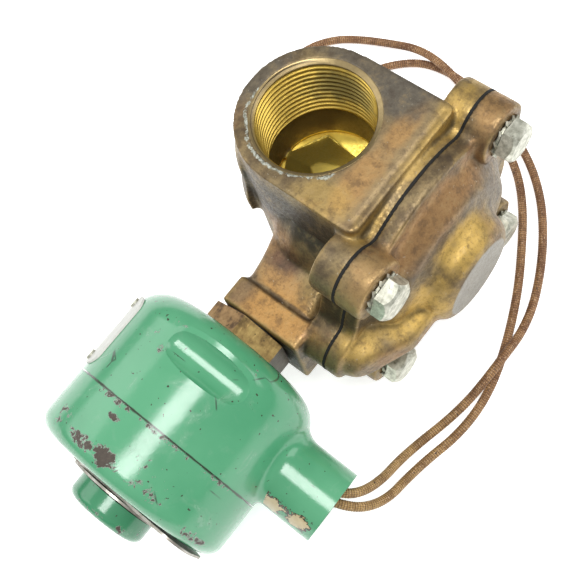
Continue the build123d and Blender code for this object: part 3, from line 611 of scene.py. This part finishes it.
COVER_CHIPS = [
    ((-105.0, -2, 73), (1.4, 11, 5), 0.29),
    ((-104.9, -22, 70), (1.2, 14, 7), 0.28),
    ((-104.9, -38, 58), (1.1, 10, 10), 0.24),
    ((-109.3, -5.8, 73.6), (1.2, 2.8, 2), 0.38),
    ((-120.5, -2, 72), (2.6, 8, 5), 0.34),
    ((-120.0, -12, 73), (3.4, 5.5, 5), 0.42),
    ((-118.5, 12, 69), (5, 7, 6), 0.24),
    ((-120.0, -27, 69), (3.0, 11, 6), 0.25),
    ((-122.5, -42, 53), (2.2, 12, 10), 0.27),
    ((-114, -24, 70), (8, 12, 6), 0.14),
]

CAP_CHIPS = [
    ((-128.5, -22, 48), (1.4, 10, 8), 0.20),
    ((-136.0, -20, 46), (2.0, 6, 5), 0.24),
    ((-136.0, 4, 46), (2.0, 5, 5), 0.24),
    ((-136.5, -9.5, 51), (1.6, 12, 4), 0.20),
    ((-134, -24, 37), (4, 3, 12), 0.16),
]

HUB_CHIPS = [
    ((-98.6, -45, 30), (3, 3, 6), 0.10),
]

HUB_FLAKES = [
    ((-99.4, -51, 36.0), (3.7, 5.4, 4.0)),
    ((-99.0, -61.5, 35.6), (3.0, 5.0, 3.6)),
]


def hub_material(light, deep):
    """Enamel of the conduit hub, flaked off to tan primer low on its cover side."""
    material = enamel_material("hub_enamel", light, deep, HUB_CHIPS)
    paint = Paint.over(material)
    colour = paint.shader.inputs["Base Color"].links[0].from_socket
    grain = paint.calc("MULTIPLY", paint.calc("SUBTRACT", paint.noise(3.4 * MM, 5.0, 0.7), 0.5), 2.6)
    first, second = [paint.away(in_metres(centre), in_metres(radii)) for centre, radii in HUB_FLAKES]
    edge = paint.calc("ADD", paint.calc("MINIMUM", first, second), grain)
    outline = paint.step(edge, 1.03, 1.0)
    primer = paint.step(edge, 0.84, 0.80)
    tan = paint.mix(paint.noise(2 * MM, 4.0, 0.6), (0.42, 0.33, 0.17), (0.60, 0.50, 0.30))
    colour = paint.mix(outline, colour, (0.045, 0.035, 0.025))
    paint.feed(paint.shader.inputs["Base Color"], paint.mix(primer, colour, tan))
    return material


def zinc_material():
    """Dulled zinc plating with a faint green cast."""
    paint = Paint("zinc")
    blotch = paint.noise(2.2 * MM, 5.0, 0.62)
    colour = paint.ramp(
        blotch,
        (0.30, (0.28, 0.28, 0.22)),
        (0.48, (0.52, 0.52, 0.43)),
        (0.66, (0.74, 0.74, 0.64)),
    )
    dirt = paint.step(paint.noise(1.0 * MM, 4.0, 0.65), 0.60, 0.72)
    colour = paint.mix(paint.calc("MULTIPLY", dirt, 0.6), colour, (0.16, 0.14, 0.10))
    paint.bump(paint.noise(0.8 * MM, 3.0), 0.3, 0.12 * MM)
    return paint.finish(colour, paint.blend(blotch, 0.52, 0.34), 0.75)


HEX_EDGE_Z = 45.2 * MM


def hex_material():
    """Tarnished machined brass: coppery on the far flat, yellow on the near one, with painted shade below its
    edge.
    """
    paint = Paint("hex_brass")
    blotch = paint.noise(4 * MM, 5.0, 0.62)
    colour = paint.ramp(
        blotch,
        (0.34, (0.13, 0.085, 0.035)),
        (0.50, (0.33, 0.220, 0.080)),
        (0.64, (0.47, 0.33, 0.12)),
    )
    copper = paint.ramp(
        blotch,
        (0.36, (0.12, 0.070, 0.036)),
        (0.50, (0.34, 0.205, 0.088)),
        (0.66, (0.46, 0.29, 0.13)),
    )
    far = paint.step(paint.axis("Y"), SOLENOID_Y - 0.4 * MM, SOLENOID_Y + 0.4 * MM)
    colour = paint.mix(far, colour, copper)
    # painted shade on the facets below the hex's edge
    shade_below = paint.step(paint.axis("Z"), HEX_EDGE_Z + 0.3 * MM, HEX_EDGE_Z - 0.3 * MM)
    colour = paint.mix(paint.calc("MULTIPLY", shade_below, 0.95), colour, (0.042, 0.034, 0.020))
    nick = paint.step(paint.noise(1.8 * MM, 3.0, 0.5), 0.68, 0.71)
    colour = paint.mix(nick, colour, (0.06, 0.045, 0.025))
    paint.bump(paint.noise(0.9 * MM, 4.0, where=paint.stretched(0.4, 1, 1)), 0.45, 0.2 * MM)
    return paint.finish(colour, paint.blend(blotch, 0.52, 0.33), 0.75)


def rubber_material():
    """Matte black rubber with a faint dusty bloom."""
    paint = Paint("rubber")
    dust = paint.noise(2.5 * MM, 4.0)
    colour = paint.mix(dust, (0.006, 0.006, 0.006), (0.022, 0.021, 0.018))
    paint.bump(paint.noise(0.7 * MM, 3.0), 0.3, 0.1 * MM)
    return paint.finish(colour, 0.7, Specular_IOR_Level=0.25)


def steel_material(name, dark, light, rough):
    """Turned or rolled bare metal."""
    paint = Paint(name)
    grain = paint.step(paint.noise(4 * MM, 5.0, 0.62), 0.35, 0.65)
    colour = paint.mix(grain, dark, light)
    fleck = paint.step(paint.noise(0.9 * MM, 3.0, 0.6), 0.64, 0.74)
    colour = paint.mix(paint.calc("MULTIPLY", fleck, 0.5), colour, tuple(part * 0.45 for part in dark))
    paint.bump(paint.noise(0.5 * MM, 3.0), 0.2, 0.08 * MM)
    return paint.finish(colour, paint.blend(grain, rough + 0.14, rough), 0.85)


def plain_material(name, dark, light, rough):
    """Fibre, tape and moulded plastic of the hidden parts."""
    paint = Paint(name)
    grain = paint.noise(2 * MM, 4.0, 0.6)
    colour = paint.mix(grain, dark, light)
    paint.bump(grain, 0.2, 0.1 * MM)
    return paint.finish(colour, rough)


# ---------------------------------------------------------------- cast skins


def remeshed(node, name, voxel):
    """A copy of a CAD node with an even net of faces."""
    piece = bpy.data.objects.new(name, nodes[node].data.copy())
    bpy.context.scene.collection.objects.link(piece)
    piece.data.materials.clear()
    modifier = piece.modifiers.new("even", "REMESH")
    modifier.mode = "VOXEL"
    modifier.voxel_size = voxel
    view = bpy.context.evaluated_depsgraph_get()
    even = bpy.data.meshes.new_from_object(piece.evaluated_get(view))
    piece.modifiers.clear()
    piece.data = even
    even.polygons.foreach_set("use_smooth", [True] * len(even.polygons))
    return piece


def mesh_points(piece):
    points = np.zeros(len(piece.data.vertices) * 3)
    piece.data.vertices.foreach_get("co", points)
    return points.reshape(-1, 3)


def mesh_edges(piece):
    edges = np.zeros(len(piece.data.edges) * 2, int)
    piece.data.edges.foreach_get("vertices", edges)
    return edges.reshape(-1, 2)


def relaxed(points, edges, weight, rounds):
    """Points moved toward the middle of their neighbours, by weight."""
    first, second = edges.T
    count = len(points)
    degree = np.bincount(first, minlength=count) + np.bincount(second, minlength=count)
    for _ in range(rounds):
        total = np.zeros_like(points)
        for axis in range(3):
            total[:, axis] = np.bincount(first, points[second, axis], count)
            total[:, axis] += np.bincount(second, points[first, axis], count)
        points = points + 0.6 * weight[:, None] * (total / degree[:, None] - points)
    return points


def set_points(piece, points):
    piece.data.vertices.foreach_set("co", points.ravel())
    piece.data.update()


def fade(value, shade_below, high):
    """0 below low, 1 above high, smooth between."""
    part = np.clip((value - shade_below) / (high - shade_below), 0, 1)
    return part * part * (3 - 2 * part)


def add_value(piece, name, values):
    """A number on every vertex, for the material to read."""
    attribute = piece.data.attributes.new(name, "FLOAT", "POINT")
    attribute.data.foreach_set("value", values)


def ridges(piece, points, edges):
    """How far each vertex stands out of its surroundings, in mm: positive on ridges, negative in hollows."""
    normals = np.zeros(points.size)
    piece.data.vertices.foreach_get("normal", normals)
    broad = relaxed(points, edges, np.ones(len(points)), rounds=28)
    return ((points - broad) * normals.reshape(-1, 3)).sum(axis=1) / MM


def finish_skin(piece, node, points, inside, rim, faced, material):
    """Place a casting's skin in the model and give its material what it reads."""
    set_points(piece, points)
    high = points[:, 2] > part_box(node)[1].z - 2 * MM
    gain = np.where(high, 0.6, 1.8)
    add_value(piece, "ridge", ridges(piece, points, mesh_edges(piece)) * gain)
    add_value(piece, "inside", inside)
    add_value(piece, "rim", rim)
    add_value(piece, "faced", faced)
    piece.data.materials.append(material)
    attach(piece, ROOT)
    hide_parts(node)


PORT_R = 20.6 * MM
PORT_CHAMFER_R = 21.2 * MM
PORT_WALL_R = 21.0 * MM
INSIDE_R = 23.0 * MM        # everything this near to the body's middle is its inside
SILL_R = 22.0 * MM
SILL_RISE = 5 * MM
SILL_SIDE = (0.82, 0.57)    # direction across the flow in which the floor rises


def inner_surface(points, shade_below, high):
    """1 on the body's ports and chambers, 0 on its outside."""
    bore = np.hypot(points[:, 0], points[:, 1])
    deep = np.linalg.norm(points - (0, 0, (shade_below.z + high.z) / 2), axis=1)
    inside = np.maximum(bore < PORT_WALL_R, deep < INSIDE_R).astype(float)
    return inside * (points[:, 2] < high.z - 0.5 * MM) * (points[:, 1] > shade_below.y + 1 * MM)


def sill(points, middle):
    """Rise of the inlet chamber's floor toward its far side."""
    deep = np.linalg.norm(points - (0, 0, middle), axis=1)
    along = (SILL_SIDE[0] * points[:, 0] + SILL_SIDE[1] * points[:, 1]) * (deep < SILL_R)
    floor = (points[:, 2] < middle + 1 * MM) & (points[:, 2] > middle - 4 * MM)
    return SILL_RISE * floor * fade(along, 2 * MM, 16 * MM)


def mouth_push(points, bore, middle):
    """Factor that brings the rims of both ports out to the chamfer of the port lining."""
    mouth = (bore < PORT_CHAMFER_R) & (np.abs(points[:, 2] - middle) > 20 * MM)
    return np.where(mouth, PORT_CHAMFER_R / np.maximum(bore, 1e-6), 1.0)


def limed_rim(points, bore, top):
    """1 where the upper port's rim may carry lime: a ragged ring, mostly toward the solenoid."""
    turn = np.arctan2(points[:, 1], points[:, 0])
    wobble = 0.5 * MM * np.sin(7 * turn + 2 * np.sin(3 * turn))
    ring = 1 - fade(np.abs(bore - PORT_CHAMFER_R - 0.7 * MM - wobble), 0.3 * MM, 1.3 * MM)
    facing = 0.25 + 0.75 * fade(np.cos(turn - radians(165)), -0.1, 0.75)
    return ring * facing * fade(points[:, 2], top - 2 * MM, top - 0.6 * MM)


def add_body_skin():
    """Body casting: rounded where it is cast, flat where it is machined."""
    piece = remeshed("valve_body", "cast_body", 0.65 * MM)
    shade_below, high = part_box("valve_body")
    middle = (shade_below.z + high.z) / 2
    points = mesh_points(piece)
    inside = inner_surface(points, shade_below, high)
    points[:, 2] += sill(points, middle)
    cast = 1 - 0.95 * inside
    cast *= fade(high.z - points[:, 2], 0.3 * MM, 1.0 * MM)
    cast *= fade(points[:, 2], 0.3 * MM, 1.0 * MM)
    cast *= fade(points[:, 1] - shade_below.y, 0.2 * MM, 0.8 * MM)
    block = fade(NECK_STEP_X - points[:, 0], 0, 2 * MM) * (points[:, 1] > BLOCK_FRONT_Y)
    points = relaxed(points, mesh_edges(piece), cast * (1 - 0.75 * block), rounds=8)
    points -= neck_groove(points)
    points[:, 2] -= bead_line(points, high.z)
    points[:, 1] -= closing(points[:, 1] - shade_below.y)
    bore = np.hypot(points[:, 0], points[:, 1])
    points[:, :2] *= mouth_push(points, bore, middle)[:, None]
    rim = limed_rim(points, bore, high.z)
    faced = np.zeros(len(points))
    finish_skin(piece, "valve_body", points, inside, rim, faced, cast_material("body_bronze", BODY_PATCHES))


def closing(gap):
    """How far a casting's joint face comes forward, so that its rounded edge still meets the gasket."""
    return 0.35 * MM * (1 - fade(gap, 0.2 * MM, 1.2 * MM))


NECK_STEP_X = -46.0 * MM
BLOCK_FRONT_Y = -31 * MM


def neck_groove(points):
    """Fine groove where the neck meets the pilot block, as an offset toward the solenoid's axis."""
    outward = points - (0, SOLENOID_Y, SOLENOID_Z)
    outward[:, 0] = 0
    outward /= np.maximum(np.linalg.norm(outward, axis=1), 1e-6)[:, None]
    width = np.exp(-(((points[:, 0] - NECK_STEP_X) / (0.55 * MM)) ** 2))
    depth = 0.7 * MM * width * (points[:, 1] > BLOCK_FRONT_Y)
    return outward * depth[:, None]


def bead_line(points, top):
    """Depth of the shallow groove that runs along the straight side of the port's face."""
    face_half, groove_y, depth = 24.5 * MM, -32.3 * MM, 0.5 * MM
    width = np.exp(-(((points[:, 1] - groove_y) / (0.55 * MM)) ** 2))
    length = 1 - fade(np.abs(points[:, 0]), face_half - 2 * MM, face_half)
    return depth * width * length * (points[:, 2] > top - 1 * MM)


def add_bonnet_skin():
    """Bonnet casting."""
    piece = remeshed("bonnet", "cast_bonnet", 0.6 * MM)
    shade_below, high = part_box("bonnet")
    points = mesh_points(piece)
    cast = fade(high.y - points[:, 1], 0.2 * MM, 0.8 * MM)
    cast *= fade(points[:, 1] - shade_below.y, 0.2 * MM, 0.7 * MM)
    points = relaxed(points, mesh_edges(piece), cast, rounds=9)
    points[:, 1] += closing(high.y - points[:, 1])
    nothing = np.zeros(len(points))
    faced = 1 - fade(points[:, 1] - shade_below.y, 0.10 * MM, 0.22 * MM)
    bronze = cast_material("bonnet_bronze", BONNET_PATCHES)
    finish_skin(piece, "bonnet", points, nothing, nothing, faced, bronze)


THREAD_PITCH = 25.4 * MM / 11.5
THREAD_DEPTH = 25.6 * MM
THREAD_HEIGHT = 1.25 * MM
THREAD_TAPER = 1 / 32       # on the radius
CHAMFER_SLOPE = 1.9
LINING_COLUMNS = 160
LINING_STEP = 0.14 * MM
LINING_SUNK = 0.03 * MM     # below the port's face, so that the two never coincide


def lining_rows(angle):
    """Rows of the port's lining from its deep end to its mouth: radii, depth, groove and wear."""
    outside = np.full(len(angle), PORT_CHAMFER_R + 0.15 * MM)
    level = np.zeros(len(angle))
    depth = np.arange(0, THREAD_DEPTH + LINING_STEP, LINING_STEP)
    wave = (depth[:, None] / THREAD_PITCH - angle[None] / (2 * pi)) % 1.0
    ridge = np.clip(1.35 - 2.7 * np.abs(wave - 0.5), 0, 1)
    crest = PORT_R + 0.12 * MM - depth[:, None] * THREAD_TAPER
    radius = crest - THREAD_HEIGHT * ridge
    chamfer = PORT_CHAMFER_R - depth[:, None] * CHAMFER_SLOPE
    radius = np.maximum(radius, chamfer)
    groove = np.where(radius > chamfer, 1 - ridge, 0)
    worn = 1 - fade(depth, 1.0 * MM, 2.2 * MM)
    rows = [(outside, THREAD_DEPTH, level, 0)]
    rows += [(radius[i], depth[i] + LINING_SUNK, groove[i], worn[i]) for i in reversed(range(len(depth)))]
    return rows + [(outside, LINING_SUNK, level, 1)]


def add_port_lining(name, mouth_z, inward):
    """Machined lining of one port: chamfer and tapered helical thread."""
    angle = np.linspace(0, 2 * pi, LINING_COLUMNS, endpoint=False)
    rows = lining_rows(angle)
    vertices, shade, lip = [], [], []
    for size, down, dark, dull in rows:
        z = mouth_z + inward * down
        vertices += [(s * cos(a), s * sin(a), z) for s, a in zip(size, angle)]
        shade += list(dark)
        lip += [dull] * LINING_COLUMNS
    faces = grid_faces(len(rows), LINING_COLUMNS)
    last = (len(rows) - 1) * LINING_COLUMNS
    for column in range(LINING_COLUMNS):
        beside = (column + 1) % LINING_COLUMNS
        faces.append((last + column, last + beside, beside, column))
    if inward > 0:
        faces = [tuple(reversed(face)) for face in faces]
    piece = link_mesh(name, vertices, faces)
    add_value(piece, "depth", shade)
    add_value(piece, "lip", lip)
    piece.data.materials.append(thread_material())
    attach(piece, ROOT)


HUB_X = -88.1 * MM
HUB_R = 13.4 * MM
HUB_TILT = radians(10)


def housing_radius(x):
    """Outside radius of the housing at a place along its axis: straight, then rounded to the top."""
    side, top, corner = 36.8 * MM, -66.0 * MM, 11.0 * MM
    past = max(0.0, x - (top - corner))
    return side - corner + (max(0.0, corner**2 - past**2)) ** 0.5


def add_hub_fillet(material):
    """Smooth weld fillet between the housing and its conduit hub."""
    solenoid = Vector((0, SOLENOID_Y, SOLENOID_Z))
    out = Vector((0, -cos(HUB_TILT), -sin(HUB_TILT)))
    beside = Vector((0, -out.z, out.y))
    turns, rows = 96, 9

    def spot(reach, turn, lift=0.0):
        x = HUB_X + reach * cos(turn)
        across = reach * sin(turn)
        along = max(0.0, housing_radius(x) ** 2 - across**2) ** 0.5 + lift
        return Vector((x, 0, 0)) + solenoid + out * along + beside * across

    vertices = []
    for row in range(rows):
        t = row / (rows - 1)
        for column in range(turns):
            turn = 2 * pi * column / turns
            size = (3.6 + 1.4 * cos(turn)) * MM
            upper = spot(HUB_R, turn, size)
            corner = spot(HUB_R, turn)
            lower = spot(HUB_R + size, turn)
            vertices.append(upper * (1 - t) ** 2 + corner * 2 * t * (1 - t) + lower * t**2)
    piece = link_mesh("hub_fillet", vertices, grid_faces(rows, turns))
    piece.data.materials.append(material)
    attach(piece, ROOT)


# ---------------------------------------------------------------- carried-over nodes


def add_spring(node, side):
    """A coil spring in bare steel, carried with the valve."""
    shade_below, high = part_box(node)
    anchor = list((shade_below + high) / 2)
    anchor[side] = shade_below[side]
    piece = bpy.data.objects.new(f"{node}_wire", nodes[node].data.copy())
    bpy.context.scene.collection.objects.link(piece)
    piece.data.materials.clear()
    piece.data.materials.append(steel_material(f"{node}_steel", (0.42, 0.42, 0.40), (0.60, 0.60, 0.57), 0.28))
    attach(piece, ROOT)
    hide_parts(node)
    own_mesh(piece)


def dress_nodes():
    """A procedural material on every CAD node that shows."""
    zinc = zinc_material()
    rubber = rubber_material()
    brass = hex_material()
    stainless = steel_material("stainless", (0.42, 0.42, 0.40), (0.60, 0.60, 0.57), 0.28)
    strap = steel_material("strap_steel", (0.22, 0.22, 0.22), (0.36, 0.36, 0.35), 0.4)
    plate = plain_material("blank_plate", (0.46, 0.47, 0.43), (0.66, 0.66, 0.61), 0.42)
    end = steel_material("end_plate_steel", (0.30, 0.27, 0.23), (0.46, 0.44, 0.40), 0.36)
    copper = steel_material("bare_copper", (0.40, 0.20, 0.11), (0.62, 0.38, 0.25), 0.32)
    light, deep = (0.095, 0.345, 0.180), (0.066, 0.295, 0.145)
    housing = enamel_material("housing_enamel", light, deep, HOUSING_CHIPS)
    cover = enamel_material("cover_enamel", light, deep, COVER_CHIPS)
    hub = hub_material(light, deep)
    cap = enamel_material("cap_enamel", (0.058, 0.275, 0.135), (0.036, 0.215, 0.098), CAP_CHIPS)
    bobbin = plain_material("bobbin_plastic", (0.50, 0.44, 0.33), (0.62, 0.56, 0.44), 0.5)
    tape = plain_material("winding_tape", (0.28, 0.18, 0.07), (0.42, 0.29, 0.13), 0.6)
    fibre = plain_material("fibre", (0.10, 0.06, 0.035), (0.19, 0.12, 0.075), 0.7)
    chosen = {
        "diaphragm": rubber, "seat_disc": rubber, "core_disc": rubber, "base_gasket": rubber,
        "bleed_eyelet": brass, "disc_washer": brass, "diaphragm_plate": brass, "pilot_seat": brass,
        "solenoid_base": brass, "disc_stud": stainless, "stud_nut": stainless,
        "core_tube": stainless, "fixed_core": stainless, "moving_core": stainless,
        "bonnet_screws": zinc, "lock_washers": zinc, "plate_pins": zinc, "yoke": strap,
        "coil_bobbin": bobbin, "coil_winding": tape, "insulating_washers": fibre,
        "housing": housing, "conduit_hub": hub, "housing_cover": cover, "retaining_cap": cap,
        "side_plate": plate, "end_plate": end, "dished_washer": end,
        "lead_tip_a": copper, "lead_tip_b": copper,
    }
    add_hub_fillet(housing)
    for name, material in chosen.items():
        data = nodes[name].data
        data.materials.clear()
        data.materials.append(material)


# ---------------------------------------------------------------- floor and light


def add_floor():
    """A plain pale floor that glows a little, as a light table does."""
    paint = Paint("floor")
    colour = paint.mix(paint.noise(0.5, 2.0), (0.80, 0.80, 0.80), (0.83, 0.83, 0.83))
    paint.shader.inputs["Emission Color"].default_value = (1, 1, 1, 1)
    material = paint.finish(colour, 0.9, Emission_Strength=0.66)
    floor = link_mesh("floor", [(-4, -4, 0), (4, -4, 0), (4, 4, 0), (-4, 4, 0)], [(0, 1, 2, 3)], smooth=False)
    floor.data.materials.append(material)


def add_lamp(name, place, target, size, power):
    """A soft rectangular lamp."""
    data = bpy.data.lights.new(name, "AREA")
    data.shape = "RECTANGLE"
    data.size, data.size_y = size
    data.energy = power
    lamp = bpy.data.objects.new(name, data)
    lamp.location = place
    lamp.rotation_euler = (Vector(target) - Vector(place)).to_track_quat("-Z", "Y").to_euler()
    bpy.context.scene.collection.objects.link(lamp)


def add_light():
    """A soft box overhead, one on each side and pale surroundings that darken toward the horizon."""
    world = bpy.data.worlds.new("studio")
    bpy.context.scene.world = world
    world.use_nodes = True
    tree = world.node_tree
    place = tree.nodes.new("ShaderNodeTexCoord").outputs["Generated"]
    split = tree.nodes.new("ShaderNodeSeparateXYZ")
    ramp = tree.nodes.new("ShaderNodeValToRGB")
    ramp.color_ramp.elements[0].position = 0.05
    ramp.color_ramp.elements[0].color = (0.32, 0.32, 0.33, 1)
    ramp.color_ramp.elements[1].position = 0.75
    ramp.color_ramp.elements[1].color = (0.80, 0.80, 0.80, 1)
    tree.links.new(place, split.inputs[0])
    tree.links.new(split.outputs["Z"], ramp.inputs[0])
    tree.links.new(ramp.outputs["Color"], tree.nodes["Background"].inputs["Color"])
    tree.nodes["Background"].inputs["Strength"].default_value = 0.75
    add_lamp("overhead", (-0.10, -0.16, 1.0), (-0.05, 0, 0.04), (0.50, 0.32), 6.0)
    add_lamp("far_side", (-0.35, 0.95, 0.75), (0, 0, 0.04), (1.1, 0.8), 5.0)
    add_lamp("near_side", (0.65, -0.65, 0.7), (0, 0, 0.04), (0.6, 0.6), 3.0)
    bpy.context.scene.view_settings.view_transform = "Standard"


add_camera()
add_leads()
add_body_skin()
add_bonnet_skin()
add_port_lining("inlet_thread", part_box("valve_body")[1].z, -1)
add_port_lining("outlet_thread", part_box("valve_body")[0].z, 1)
add_spring("main_spring", 1)
add_spring("core_spring", 0)
dress_nodes()
add_floor()
add_light()
